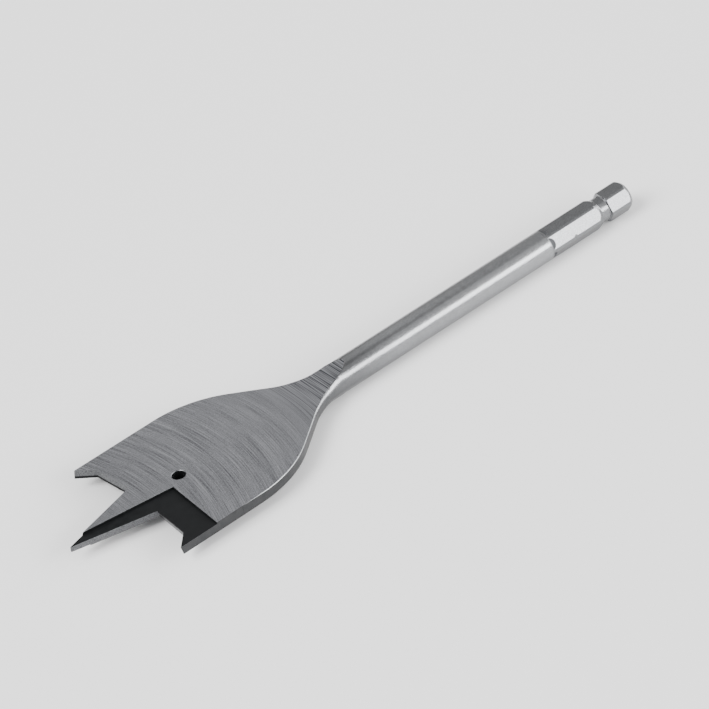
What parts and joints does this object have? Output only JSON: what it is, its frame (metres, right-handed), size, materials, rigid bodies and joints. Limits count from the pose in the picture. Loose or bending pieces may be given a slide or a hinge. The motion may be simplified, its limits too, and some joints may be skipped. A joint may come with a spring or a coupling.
{
  "type": "spade drill bit",
  "caption": "Flat wood-boring bit: hex quick-change shank with a retaining groove, round shaft, and a winged blade with centre point, spurs and a hanging hole.",
  "frame": {"origin": "middle of the flat end of the hex shank, on the bit's axis", "axes": "+X along the axis to the point, +Y across the blade to one wing, +Z out of the blade's face, through the hanging hole"},
  "size_m": [0.152, 0.038, 0.007],
  "materials": {
    "steel": "ground blade faces, satin shaft and shank, blackened rake recesses"
  },
  "bodies": {
    "root": {"spade_bit": "steel"}
  },
  "joints": []
}
